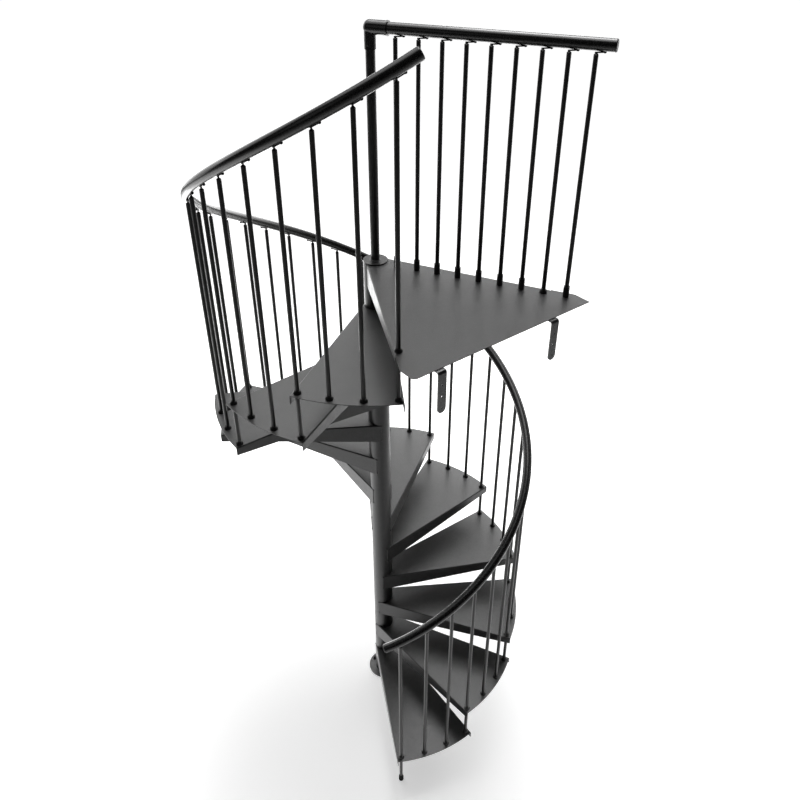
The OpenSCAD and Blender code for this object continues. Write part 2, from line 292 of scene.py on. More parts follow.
def coat_grain_group() -> bpy.types.NodeTree:
    """The grain of baked powder coat: its orange peel, its flecks and its slow drift in tone.

    Returns:
        The node group, which is built once.
    """
    name = "coat_grain"
    if name in bpy.data.node_groups:
        return bpy.data.node_groups[name]
    g = new_group(
        name,
        {
            "Deep Colour": grey(0.02),
            "Fleck Colour": grey(0.06),
            "Peel per Metre": 400.0,
            "Fleck Share": 0.4,
            "Roughness": 0.4,
            "Roughness Spread": 0.1,
        },
        {"Color": COLOUR, "Roughness": NUMBER, "Height": NUMBER},
    )
    given = g.node("NodeGroupInput", "given").outputs
    place = g.node("ShaderNodeTexCoord", "place on the part").outputs["Object"]
    peel = g.noise("orange peel", place, given["Peel per Metre"], 2.0)
    drift = g.noise("slow drift", place, 6.0, 3.0)
    mottle = g.maths("SUBTRACT", "mottling about its middle", g.noise("mottling", place, 55.0, 3.0), 0.5)
    fine = g.maths("MULTIPLY", "fleck fineness", given["Peel per Metre"], 2.6)
    flecks = g.noise("flecks", place, fine, 1.0)
    proud = g.maths("SUBTRACT", "flecks above the middle", flecks, 0.5)
    sharp = g.maths("MULTIPLY_ADD", "sharpened flecks", proud, 5.0, 0.5)
    held = g.node("ShaderNodeClamp", "held flecks", {"Value": sharp}).outputs[0]
    share = g.maths("MULTIPLY", "share of fleck colour", held, given["Fleck Share"])
    drifted = g.maths("MULTIPLY_ADD", "tone drift", drift, 0.35, 0.82)
    toned = g.maths("MULTIPLY_ADD", "drift and mottling", mottle, 1.3, drifted)
    speckled = g.blend("flecked coat", share, given["Deep Colour"], given["Fleck Colour"])
    tone = g.node("ShaderNodeHueSaturation", "drifting tone", {"Color": speckled, "Value": toned})
    uneven = g.maths("MULTIPLY_ADD", "peel and mottling", mottle, 2.0, peel)
    spread = g.maths("SUBTRACT", "unevenness about its middle", uneven, 0.5)
    rough = g.maths("MULTIPLY_ADD", "roughness", spread, given["Roughness Spread"], given["Roughness"])
    height = g.maths("MULTIPLY_ADD", "height", flecks, 0.35, peel)
    results = {"Color": tone.outputs["Color"], "Roughness": rough, "Height": height}
    g.node("NodeGroupOutput", "result", results)
    return g.tree


def settled_dust_group() -> bpy.types.NodeTree:
    """A thin film of dust that lies only on faces that look up.

    Returns:
        The node group, which is built once.
    """
    name = "settled_dust"
    if name in bpy.data.node_groups:
        return bpy.data.node_groups[name]
    g = new_group(
        name,
        {"Color": grey(0.02), "Roughness": 0.4, "Dust Colour": (0.3, 0.3, 0.29, 1.0), "Amount": 0.1},
        {"Color": COLOUR, "Roughness": NUMBER},
    )
    given = g.node("NodeGroupInput", "given").outputs
    place = g.node("ShaderNodeTexCoord", "place on the part").outputs["Object"]
    normal = g.node("ShaderNodeNewGeometry", "surface").outputs["Normal"]
    facing = g.node("ShaderNodeSeparateXYZ", "facing", {0: normal}).outputs["Z"]
    upward = g.ramp("looks up", facing, (0.6, 0.98, 0.0, 1.0))
    patches = g.noise("patches", place, 14.0, 4.0)
    lying = g.maths("MULTIPLY", "dust that lies", upward, patches)
    share = g.maths("MULTIPLY", "share of dust", lying, given["Amount"])
    dusty = g.blend("dusty colour", share, given["Color"], given["Dust Colour"])
    rough = g.maths("MULTIPLY_ADD", "dusty roughness", share, 0.5, given["Roughness"])
    g.node("NodeGroupOutput", "result", {"Color": dusty, "Roughness": rough})
    return g.tree


@dataclass(frozen=True)
class CoatFinish:
    """A baked or moulded coat with its own grain, gloss and dust."""

    name: str
    fleck: float
    peel_per_metre: float
    peel_height: float
    roughness: float
    clear: float
    deep: float = 0.012
    fleck_share: float = 0.4
    roughness_spread: float = 0.12
    clear_roughness: float = 0.25
    dust: float = 0.02

    def material(self) -> bpy.types.Material:
        """The finish as a material.

        Returns:
            The material, which is built once.
        """
        if self.name in bpy.data.materials:
            return bpy.data.materials[self.name]
        made = bpy.data.materials.new(self.name)
        g = emptied(made)
        given = {
            "Deep Colour": grey(self.deep),
            "Fleck Colour": grey(self.fleck),
            "Peel per Metre": self.peel_per_metre,
            "Fleck Share": self.fleck_share,
            "Roughness": self.roughness,
            "Roughness Spread": self.roughness_spread,
        }
        grain = g.node("ShaderNodeGroup", "coat grain", given, node_tree=coat_grain_group()).outputs
        given = {"Color": grain["Color"], "Roughness": grain["Roughness"], "Amount": self.dust}
        dusted = g.node("ShaderNodeGroup", "settled dust", given, node_tree=settled_dust_group()).outputs
        given = {"Strength": 1.0, "Distance": self.peel_height, "Height": grain["Height"]}
        bump = g.node("ShaderNodeBump", "orange peel", given)
        given = {
            "Base Color": dusted["Color"],
            "Roughness": dusted["Roughness"],
            "Normal": bump.outputs["Normal"],
            "Coat Weight": self.clear,
            "Coat Roughness": self.clear_roughness,
        }
        paint = g.node("ShaderNodeBsdfPrincipled", "coat", given)
        g.node("ShaderNodeOutputMaterial", "surface", {"Surface": paint.outputs["BSDF"]})
        return made


TREAD_COAT = CoatFinish(
    "tread_powder_coat", fleck=0.04, fleck_share=0.5, peel_per_metre=520.0, peel_height=0.00025,
    roughness=0.42, roughness_spread=0.16, clear=0.35, clear_roughness=0.3, dust=0.05,
)
FRAME_COAT = CoatFinish(
    "frame_powder_coat", fleck=0.032, peel_per_metre=620.0, peel_height=0.00012, roughness=0.36,
    clear=0.35, dust=0.03,
)
# The wall brackets' coat is the frame coat with painted shade. Its darker base colour stands in for the
# shade on their bends and hole walls, and its full clear coat is their gloss.
BRACKET_SHADED_COAT = CoatFinish(
    "bracket_coat_with_painted_shade", deep=0.004, fleck=0.012, peel_per_metre=620.0, peel_height=0.00012,
    roughness=0.3, clear=1.0, dust=0.0,
)
BALUSTER_COAT = CoatFinish(
    "baluster_powder_coat", fleck=0.025, fleck_share=0.35, peel_per_metre=760.0, peel_height=0.00006,
    roughness=0.34, roughness_spread=0.1, clear=0.2,
)
RAIL_COAT = CoatFinish(
    "rail_gloss_coat", fleck=0.02, fleck_share=0.25, peel_per_metre=240.0, peel_height=0.00003,
    roughness=0.26, roughness_spread=0.08, clear=0.5, clear_roughness=0.12, dust=0.0,
)
CAP_PLASTIC = CoatFinish(
    "moulded_cap_plastic", deep=0.018, fleck=0.03, peel_per_metre=900.0, peel_height=0.00006,
    roughness=0.5, clear=0.0, clear_roughness=0.3,
)
FOOT_RUBBER = CoatFinish(
    "foot_rubber", deep=0.016, fleck=0.03, fleck_share=0.5, peel_per_metre=700.0, peel_height=0.00012,
    roughness=0.68, roughness_spread=0.15, clear=0.0, clear_roughness=0.3, dust=0.06,
)
# The same dark finish also colours the lumps of painted shade at the folds' inner corners.
FASTENER_COAT = CoatFinish(
    "blackened_fasteners", deep=0.02, fleck=0.06, fleck_share=0.5, peel_per_metre=1400.0,
    peel_height=0.00003, roughness=0.38, roughness_spread=0.16, clear=0.1, clear_roughness=0.2,
)


# Mesh tools


def placed(name: str, data: bpy.types.ID) -> Object:
    """Puts a mesh, lamp or camera in the scene.

    Args:
        name: name of the object.
        data: what it shows.

    Returns:
        The object.
    """
    made = bpy.data.objects.new(name, data)
    bpy.context.scene.collection.objects.link(made)
    return made


def shown(name: str, made: BMesh, finish: CoatFinish) -> Object:
    """Turns a mesh under work into a finished piece that rides on the stair.

    Args:
        name: name of the piece.
        made: its mesh, which is freed.
        finish: its finish.

    Returns:
        The piece.
    """
    bmesh.ops.recalc_face_normals(made, faces=made.faces)
    mesh = bpy.data.meshes.new(name)
    made.to_mesh(mesh)
    made.free()
    mesh.materials.append(finish.material())
    mesh.shade_smooth()
    mesh.set_sharp_from_angle(angle=SHARP_ANGLE)
    piece = placed(name, mesh)
    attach(piece, BODY)
    log.info("%s: %d faces", name, len(mesh.polygons))
    return piece


def turn_profile(made: BMesh, profile: Outline, place: Matrix, sides: int) -> None:
    """Adds a closed turned solid.

    Args:
        made: mesh that takes it.
        profile: radius and height pairs of its outline, in order.
        place: frame whose Z is the axis.
        sides: number of sides.
    """
    rings = []
    for radius, height in profile:
        if radius < ON_AXIS:
            rings.append([made.verts.new(place @ Vector((0, 0, height)))])
            continue
        angles = [2 * math.pi * n / sides for n in range(sides)]
        points = [Vector((radius * math.cos(a), radius * math.sin(a), height)) for a in angles]
        rings.append([made.verts.new(place @ point) for point in points])
    closed = len(rings[0]) > 1 and len(rings[-1]) > 1
    pairs = list(zip(rings, rings[1:])) + ([(rings[-1], rings[0])] if closed else [])
    for low, high in pairs:
        for n in range(sides):
            m = n + 1
            corners = [low[n % len(low)], low[m % len(low)], high[m % len(high)], high[n % len(high)]]
            made.faces.new(list(dict.fromkeys(corners)))


def band(made: BMesh, low: list[BMVert], high: list[BMVert]) -> None:
    """Adds the faces between two closed rings of as many points.

    Args:
        made: mesh that takes them.
        low: first ring.
        high: second ring.
    """
    for n in range(len(low)):
        m = (n + 1) % len(low)
        made.faces.new((low[n], low[m], high[m], high[n]))


def hex_head(made: BMesh, across: float, height: float, place: Matrix, bore: float = 0.0) -> None:
    """Adds a hexagon head or nut with chamfered corners.

    Args:
        made: mesh that takes it.
        across: width across the flats.
        height: height along Z.
        place: frame whose Z is the axis.
        bore: diameter of a nut's bore, or 0 for a head.
    """
    corner = across / math.sqrt(3)
    cut, worn = 0.12 * height, corner * 0.93
    levels = [(worn, 0.0), (corner, cut), (corner, height - cut), (worn, height)]
    inner = bore / 2
    if inner:
        turn_profile(made, [(inner, 0.0), *levels, (inner, height)], place, 6)
    else:
        turn_profile(made, [(0.0, 0.0), *levels, (0.0, height)], place, 6)


def washer(
    made: BMesh, place: Matrix, radii: Triple, heights: tuple[float, float], sides: int = 20
) -> None:
    """Adds a washer from the radii of its bore, rim and top and the heights of its rim and top."""
    (bore, rim, top), (edge, t) = radii, heights
    turn_profile(made, [(bore, 0.0), (rim, 0.0), (rim, edge), (top, t), (bore, t)], place, sides)


def socket_head(made: BMesh, radius: float, height: float, place: Matrix) -> None:
    """Adds a domed screw head with a round recess, its top along Z.

    Args:
        made: mesh that takes it.
        radius: radius of the head.
        height: height of the dome.
        place: frame at the head's seat.
    """
    rim, well = 0.42 * radius, 0.45 * height
    profile = [
        (0.0, 0.0), (radius, 0.0), (radius, 0.25 * height), (0.86 * radius, 0.68 * height),
        (0.62 * radius, 0.92 * height), (rim, height), (rim * 0.92, well), (0.0, well),
    ]
    turn_profile(made, profile, place, 18)


def tilted(place: Matrix, angle: float, axis: str) -> Matrix:
    """A frame turned about one of its own axes."""
    return place @ Matrix.Rotation(angle, 4, axis)


def raised(place: Matrix, height: float) -> Matrix:
    """A frame moved along its own Z."""
    return place @ Matrix.Translation((0, 0, height))


def bead_section(radius: float, size: float, face: Face) -> Outline:
    """Section of a weld bead in the corner of a round part and a sheet, slightly hollow.

    Args:
        radius: radius of the round part.
        size: leg of the bead.
        face: side of the sheet.

    Returns:
        Radius and height of its points, the first of them inside the metal.
    """
    root, hollow, steps, side = 0.0008, 0.22, 4, face.value
    points = [(radius - root, -side * root)]
    for n in range(steps + 1):
        turn = math.pi / 2 * n / steps
        dip = 1 - hollow * math.sin(2 * turn)
        points.append((radius + size * math.cos(turn) * dip, side * size * math.sin(turn) * dip))
    return points


def bead_ring(made: BMesh, section: Outline, angle: float, height: float) -> list[BMVert]:
    """Adds one section of a bead, at an azimuth round the column and the height of the sheet's face."""
    return [made.verts.new((r * math.cos(angle), r * math.sin(angle), height + z)) for r, z in section]


# Sub-assemblies


@dataclass
class Handrails:
    """The spiral rail, its plugs, and the grub screws of the elbow."""

    plan: StairPlan
    lead: float = 0.55
    steps_per_space: int = 10
    sides: int = 48
    lip: float = 0.0012
    lip_shape: Outline = ((2, 3), (2, 0), (0.6, 0.1), (0, 1))
    plug_depth: float = 0.003
    plug_stand: float = 0.004
    plug_shape: Outline = ((0.0012, 0.0), (0.0012, 0.4), (0.0028, 0.85), (0.005, 1.0))
    elbow_socket_r: float = 0.024
    elbow_socket_drop: float = 0.062
    elbow_arm_r: float = 0.027
    elbow_arm_reach: float = 0.058
    screw_r: float = 0.004
    screw_h: float = 0.0012
    screw_sink: float = 0.0004

    def ring(self, k: float, radius: float, forward: float) -> list[Vector]:
        """One ring of the swept rail.

        Args:
            k: place along the rail, in baluster spaces.
            radius: radius of the ring.
            forward: shift along the rail.

        Returns:
            The ring's points.
        """
        plan = self.plan
        azimuth = plan.azimuth(k)
        outward = Vector((math.cos(azimuth), math.sin(azimuth), 0))
        ahead = Vector((-math.sin(azimuth), math.cos(azimuth), 0))
        along = ahead * math.cos(plan.slope) + Vector((0, 0, math.sin(plan.slope)))
        across = Vector((0, 0, math.cos(plan.slope))) - ahead * math.sin(plan.slope)
        axis = outward * plan.baluster_circle + Vector((0, 0, plan.line_z(k) + plan.rail_rise))
        centre = axis + along * forward
        angles = [2 * math.pi * n / self.sides for n in range(self.sides)]
        return [centre + radius * (math.cos(a) * outward + math.sin(a) * across) for a in angles]

    def build_spiral(self) -> Object:
        """The rail's tube with its turned-in lips.

        Returns:
            The piece that stands for the plain rail.
        """
        plan, radius, lip = self.plan, self.plan.rail_d / 2, self.lip
        first, last = -self.lead, plan.last + self.lead
        steps = round((last - first) * self.steps_per_space)
        shape = self.lip_shape
        rings = [self.ring(first, radius - inset * lip, shift * lip) for inset, shift in shape]
        rings += [self.ring(first + n * (last - first) / steps, radius, 0.0) for n in range(1, steps)]
        rings += [self.ring(last, radius - inset * lip, -shift * lip) for inset, shift in shape[::-1]]
        made = bmesh.new()
        rows = [[made.verts.new(p) for p in ring] for ring in rings]
        for low, high in zip(rows, rows[1:]):
            band(made, low, high)
        made.faces.new(rows[0])
        made.faces.new(rows[-1])
        piece = shown("spiral_handrail", made, RAIL_COAT)
        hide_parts("spiral_rail")
        return piece

    def build_plugs(self) -> Object:
        """The plugs pressed into both ends of the spiral rail.

        Returns:
            The piece that stands for the plain plugs.
        """
        plan, radius = self.plan, self.plan.rail_d / 2
        inner = radius - 2 * self.lip
        profile = [(0.0, -self.plug_depth), (inner, -self.plug_depth), (inner, 0.0)]
        profile += [(radius - inset, share * self.plug_stand) for inset, share in self.plug_shape]
        profile.append((0.0, self.plug_stand))
        made = bmesh.new()
        for k, heading in ((-self.lead, -1), (plan.last + self.lead, 1)):
            place = plan.at_baluster(k, plan.line_z(k) + plan.rail_rise)
            outward = tilted(place, plan.slope - heading * math.pi / 2, "X")
            turn_profile(made, profile, outward, self.sides)
        piece = shown("spiral_handrail_plugs", made, CAP_PLASTIC)
        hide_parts("spiral_rail_caps")
        return piece

    def build_elbow_screws(self) -> Object:
        """Grub screws that hold the newel and the rail in the elbow.

        Returns:
            The piece.
        """
        plan = self.plan
        made = bmesh.new()
        centre = Matrix.Translation((0, 0, plan.landing_z + plan.landing_rail_rise))
        along = tilted(centre, plan.landing_azimuth, "Z")
        socket = tilted(raised(along, -self.elbow_socket_drop), math.pi / 2, "X")
        mouth = tilted(along @ Matrix.Translation((self.elbow_arm_reach, 0, 0)), math.pi, "X")
        for place, radius in ((socket, self.elbow_socket_r), (mouth, self.elbow_arm_r)):
            socket_head(made, self.screw_r, self.screw_h, raised(place, radius - self.screw_sink))
        return shown("elbow_grub_screws", made, FASTENER_COAT)


@dataclass
class RailClips:
    """Screws and seats of the straps that carry the handrails."""

    plan: StairPlan
    strap_t: float = 0.003
    strap_w: float = 0.012
    strap_l: float = 0.038
    head_r: float = 0.0046
    head_h: float = 0.003
    seat_r: float = 0.0048
    seat_top_r: float = 0.0034
    seat_h: float = 0.0024

    def add_clip(self, made: BMesh, head: Matrix, rise: float, tilt: float) -> None:
        """Adds one clip's screw and the plug that seats its pin.

        Args:
            made: mesh that takes them.
            head: frame at the baluster's top, Y along the strap.
            rise: height of the rail's axis above the baluster's top.
            tilt: slope of the strap.
        """
        radius = self.plan.rail_d / 2
        under = radius + self.strap_t / 2
        strap = tilted(raised(head, rise), tilt, "X")
        reach = self.strap_l - self.strap_w / 2 - under * math.tan(tilt)
        seat = strap @ Matrix.Translation((0, reach, -radius - self.strap_t))
        socket_head(made, self.head_r, self.head_h, tilted(seat, math.pi, "X"))
        washer(made, head, (0.0, self.seat_r, self.seat_top_r), (self.seat_h / 2, self.seat_h))

    def build(self) -> Object:
        """All clip screws and pin seats as one piece.

        Returns:
            The piece.
        """
        plan = self.plan
        made = bmesh.new()
        for k in range(plan.last + 1):
            head = plan.at_baluster(k, plan.line_z(k) + plan.head_rise)
            self.add_clip(made, head, plan.rail_rise - plan.head_rise, plan.slope)
        swing = math.asin(plan.landing_shift / (self.strap_l - self.strap_w / 2)) - math.pi / 2
        for j in range(plan.landing_balusters):
            head = tilted(plan.at_landing_baluster(j, plan.landing_head), swing, "Z")
            self.add_clip(made, head, plan.landing_rail_rise - plan.landing_head, 0.0)
        return shown("rail_clip_screws", made, FASTENER_COAT)


@dataclass
class TreadFixings:
    """Bolts under the treads, the welds that join them to their hubs, and dark lumps of painted shade at
    the inner ends of their side folds.
    """

    plan: StairPlan
    bolt_across: float = 0.013
    bolt_h: float = 0.0053
    washer_r: float = 0.0085
    washer_t: float = 0.0016
    washer_edge: float = 0.0006
    bead: float = 0.0035
    bead_reach: float = math.radians(76)
    bead_ripple: float = 0.16
    bead_ripples: int = 24
    bead_segments: int = 56
    side_offset: float = 0.057
    tread_radius: float = 0.8
    overhang: float = math.radians(1.5)
    # sizes and places of the dark lumps of painted shade at the folds' inner corners
    corner_lump_r: float = 0.0038
    corner_lump_along: float = -0.0085
    corner_lump_out: float = 0.0552
    corner_lump_depths: tuple[float, ...] = (0.009, 0.097)
    corner_lump_stretch: float = 0.45

    def add_bolt(self, made: BMesh, place: Matrix) -> None:
        """Adds a washer and a bolt head that hang from a sheet's underside.

        Args:
            made: mesh that takes them.
            place: frame at the sheet's underside.
        """
        down = tilted(place, math.pi, "X")
        radii = (0.0, self.washer_r, self.washer_r - self.washer_edge)
        washer(made, down, radii, (0.75 * self.washer_t, self.washer_t))
        hex_head(made, self.bolt_across, self.bolt_h, raised(down, self.washer_t))

    def build_bolts(self) -> Object:
        """The bolts that hold each baluster to the tread or landing it stands on.

        Returns:
            The piece.
        """
        plan = self.plan
        made = bmesh.new()
        for number in range(1, plan.treads + 1):
            for n in range(1, plan.per_tread + 1):
                k = (number - 1) * plan.per_tread + n
                self.add_bolt(made, plan.at_baluster(k, number * plan.riser - plan.sheet))
        for j in range(plan.landing_balusters):
            self.add_bolt(made, plan.at_landing_baluster(j, -plan.sheet))
        return shown("baluster_bolts", made, FASTENER_COAT)

    def build_corner_shade_lumps(self) -> Object:
        """Dark lumps at the top and bottom corners of the inner ends of the treads' side folds, where
        they meet their hubs: painted shade of the gaps at those corners.

        Returns:
            The piece.
        """
        plan = self.plan
        made = bmesh.new()
        side_angle = plan.tread_turn / 2 + self.overhang - math.asin(self.side_offset / self.tread_radius)
        for number in range(1, plan.treads + 1):
            for side in (1, -1):
                line = tilted(plan.at_tread(number), side * side_angle, "Z")
                # painted shade: a small dark lump at the top and at the bottom of each fold's inner end
                for depth in self.corner_lump_depths:
                    place = line @ Matrix.Translation((self.corner_lump_along, side * self.corner_lump_out, -depth))
                    size = {"subdivisions": 2, "radius": self.corner_lump_r, "matrix": place}
                    for vert in bmesh.ops.create_icosphere(made, **size)["verts"]:
                        vert.co.z += self.corner_lump_stretch * (vert.co.z - place.translation.z)
        return shown("fold_corner_shade_lumps", made, FASTENER_COAT)

    def build_welds(self) -> Object:
        """Rippled weld beads between the side folds, where each sheet's underside meets its hub.

        Returns:
            The piece.
        """
        plan = self.plan
        made = bmesh.new()
        for number in range(1, plan.treads + 2):
            middle = plan.start + (number - 0.5) * plan.tread_turn
            under = number * plan.riser - plan.sheet
            rings = []
            for n in range(self.bead_segments + 1):
                angle = self.bead_reach * (2 * n / self.bead_segments - 1)
                size = self.bead * (1 + self.bead_ripple * math.cos(self.bead_ripples * angle + number))
                section = bead_section(plan.column_d / 2, size, Face.UNDERSIDE)
                rings.append(bead_ring(made, section, middle + angle, under))
            for low, high in zip(rings, rings[1:]):
                band(made, low, high)
            made.faces.new(rings[0])
            made.faces.new(rings[-1])
        return shown("hub_weld_beads", made, FRAME_COAT)


@dataclass
class ColumnFoot:
    """Anchors on the base plate, and the welds at the foot of the column and of the newel."""

    plan: StairPlan
    plate_t: float = 0.008
    pcd: float = 0.160
    anchors: int = 3
    first: float = math.radians(110)
    stud_d: float = 0.010
    stud_foot: float = -0.006
    stud_top: float = 0.021
    stud_tip: float = 0.0012
    thread_pitch: float = 0.0015
    washer_radii: Triple = (0.0052, 0.0095, 0.0088)
    washer_heights: tuple[float, float] = (0.0014, 0.002)
    nut_across: float = 0.016
    nut_h: float = 0.008
    foot_bead: float = 0.004
    newel_bead: float = 0.0025
    bead_ripple: float = 0.14
    bead_ripples: int = 24
    bead_segments: int = 96

    def stud_profile(self) -> Outline:
        """Outline of a threaded stud with a chamfered tip.

        Returns:
            Radius and height pairs from the foot to the tip.
        """
        radius, foot, top = self.stud_d / 2, self.stud_foot, self.stud_top
        threads = [(0.0, foot)]
        for s in range(round((top - foot) / self.thread_pitch)):
            z = foot + s * self.thread_pitch
            threads += [(radius * 0.9, z), (radius, z + self.thread_pitch / 2)]
        tip = top + self.stud_tip
        return threads + [(radius * 0.86, top), (radius * 0.7, tip), (0.0, tip)]

    def build_anchors(self) -> Object:
        """Washers, nuts and stud tips on the base plate.

        Returns:
            The piece.
        """
        made = bmesh.new()
        for n in range(self.anchors):
            turn = Matrix.Rotation(self.first + 2 * math.pi * n / self.anchors, 4, "Z")
            seat = turn @ Matrix.Translation((self.pcd / 2, 0, self.plate_t))
            washer(made, seat, self.washer_radii, self.washer_heights, 24)
            nut = raised(seat, self.washer_heights[1])
            hex_head(made, self.nut_across, self.nut_h, nut, self.stud_d * 0.96)
            turn_profile(made, self.stud_profile(), seat, 20)
        return shown("base_anchors", made, FASTENER_COAT)

    def build_welds(self) -> Object:
        """Weld beads round the column's foot and round the newel on the disc.

        Returns:
            The piece.
        """
        plan = self.plan
        made = bmesh.new()
        foot = (plan.column_d / 2, self.plate_t, self.foot_bead)
        head = (plan.newel_d / 2, plan.landing_z + plan.disc_t, self.newel_bead)
        for radius, height, bead in (foot, head):
            rings = []
            for n in range(self.bead_segments):
                angle = 2 * math.pi * n / self.bead_segments
                size = bead * (1 + self.bead_ripple * math.cos(self.bead_ripples * angle))
                rings.append(bead_ring(made, bead_section(radius, size, Face.TOP), angle, height))
            for low, high in zip(rings, rings[1:] + rings[:1]):
                band(made, low, high)
        return shown("column_weld_beads", made, FRAME_COAT)


@dataclass
class LegFoot:
    """The rubber foot under the lowest baluster."""

    plan: StairPlan
    radius: float = 0.014
    height: float = 0.040
    sole: float = 0.006
    bore_play: float = 0.00015
    ribs: int = 3
    first_rib: float = 0.010
    rib_pitch: float = 0.0045
    rib_shape: Outline = ((0, 0), (0.0012, 0.0008), (0.0012, 0.002), (0, 0.0028))
    rim_shape: Outline = ((0.001, 0), (0, 0.0012), (0, 0.008))
    neck_shape: Outline = ((0.0008, 0.008), (0.0026, 0.0008), (0.0032, 0))

    def build(self) -> Object:
        """The ribbed foot.

        Returns:
            The piece that stands for the plain foot.
        """
        made = bmesh.new()
        radius, bore = self.radius, self.plan.baluster_d / 2 + self.bore_play
        profile = [(0.0, 0.0)] + [(radius - inset, z) for inset, z in self.rim_shape]
        for n in range(self.ribs):
            low = self.first_rib + n * self.rib_pitch
            profile += [(radius - inset, low + z) for inset, z in self.rib_shape]
        profile += [(radius - inset, self.height - down) for inset, down in self.neck_shape]
        profile += [(bore, self.height), (bore, self.sole), (0.0, self.sole)]
        turn_profile(made, profile, self.plan.at_baluster(0, 0.0), 48)
        piece = shown("ribbed_leg_foot", made, FOOT_RUBBER)
        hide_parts("leg_foot")
        return piece


@dataclass
class BracketBolts:
    """Bolts that hold the wall brackets under the landing."""

    plan: StairPlan
    places: tuple[float, ...] = (-0.341, 0.242)
    edge: float = -0.851
    strap_t: float = 0.005
    insets: tuple[float, ...] = (0.018, 0.045)
    washer_radii: Triple = (0.0, 0.0085, 0.0078)
    washer_heights: tuple[float, float] = (0.0012, 0.0016)
    bolt_across: float = 0.013
    bolt_h: float = 0.0053

    def build(self) -> Object:
        """Two washered bolts under each bracket's strap.

        Returns:
            The piece.
        """
        made = bmesh.new()
        under = self.plan.landing_z - self.plan.sheet - self.strap_t
        for x in self.places:
            for inset in self.insets:
                down = tilted(Matrix.Translation((x, self.edge + inset, under)), math.pi, "X")
                washer(made, down, self.washer_radii, self.washer_heights)
                hex_head(made, self.bolt_across, self.bolt_h, raised(down, self.washer_heights[1]))
        return shown("bracket_bolts", made, FASTENER_COAT)


@dataclass
class CollarScrews:
    """Grub screws in the collars and sleeves that hold the balusters."""

    plan: StairPlan
    collar_r: float = 0.0154
    collar_z: float = 0.0065
    collar_run: float = 0.003
    collar_rise: float = 0.008
    collar_screw: tuple[float, float] = (0.0022, 0.0008)
    sleeve_r: float = 0.013
    sleeve_z: float = 0.034
    sleeve_screw: tuple[float, float] = (0.0026, 0.001)
    sink: float = 0.0002

    def build(self) -> Object:
        """One screw a collar on the treads, on its inner side, and one a sleeve on the landing.

        The landing's last baluster but one has a collar in place of a sleeve, and no screw.

        Returns:
            The piece.
        """
        plan = self.plan
        made = bmesh.new()
        lean = math.atan2(self.collar_run, self.collar_rise)
        for number in range(1, plan.treads + 1):
            for n in range(plan.per_tread + 1):
                k = (number - 1) * plan.per_tread + n
                foot = plan.at_baluster(k, number * plan.riser)
                inward = foot @ Matrix.Translation((-self.collar_r, 0, self.collar_z))
                socket_head(made, *self.collar_screw, tilted(inward, lean - math.pi / 2, "Y"))
        for j in range(plan.landing_balusters):
            if j == plan.landing_balusters - 2:
                continue
            side = tilted(plan.at_landing_baluster(j, self.sleeve_z), math.pi / 2, "X")
            socket_head(made, *self.sleeve_screw, raised(side, self.sleeve_r - self.sink))
        return shown("collar_grub_screws", made, FASTENER_COAT)


@dataclass
class FrameDressing:
    """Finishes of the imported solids, by the first start of a name that fits."""

    finishes: tuple[tuple[CoatFinish, Slot, tuple[str, ...]], ...] = (
        (TREAD_COAT, Slot.TREADS, ("tread_", "landing_plate")),
        (TREAD_COAT, Slot.FRAME, ("spacer_tubes",)),
        (FRAME_COAT, Slot.FRAME, ("base_plate", "centre_pole", "top_disc", "newel_post")),
        # the wall brackets take the frame coat, darkened with painted shade
        (BRACKET_SHADED_COAT, Slot.FRAME, ("wall_bracket",)),
        (BALUSTER_COAT, Slot.BALUSTERS, ("landing_rail_clips",)),
        (CAP_PLASTIC, Slot.CAPS, ("landing_rail_cap",)),
        (RAIL_COAT, Slot.RAILS, ("rail_elbow", "landing_rail", "spiral_rail")),
        (FOOT_RUBBER, Slot.FOOT, ("leg_foot",)),
        (BALUSTER_COAT, Slot.BALUSTERS, ("",)),
    )

    def dress(self, nodes: dict[str, Object]) -> None:
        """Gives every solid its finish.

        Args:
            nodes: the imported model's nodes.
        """
        for name, node in nodes.items():
            finish, slot, _ = next(row for row in self.finishes if name.startswith(row[2]))
            node.data.materials.clear()
            node.data.materials.append(finish.material())
            log.info("%s: %s", name, finish.name)


# Studio


@dataclass(frozen=True)
class Softbox:
    """A square lamp on a sphere about the stair's middle, which it looks at.

    Azimuth and elevation are in degrees, distance and side in metres.
    """

    name: str
    azimuth: float
    elevation: float
    distance: float
    side: float
    radiance: float

    def build(self, middle: Vector) -> Object:
        """The lamp as an object.

        Args:
            middle: the point it looks at.

        Returns:
            The lamp.
        """
        data = bpy.data.lights.new(self.name, "AREA")
        data.shape = "SQUARE"
        data.size = self.side
        data.energy = math.pi * self.side**2 * self.radiance
        lamp = placed(self.name, data)
        turn, rise = math.radians(self.azimuth), math.radians(self.elevation)
        away = Vector((math.cos(turn) * math.cos(rise), math.sin(turn) * math.cos(rise), math.sin(rise)))
        lamp.location = middle + self.distance * away
        lamp.rotation_euler = (-away).to_track_quat("-Z", "Y").to_euler()
        return lamp


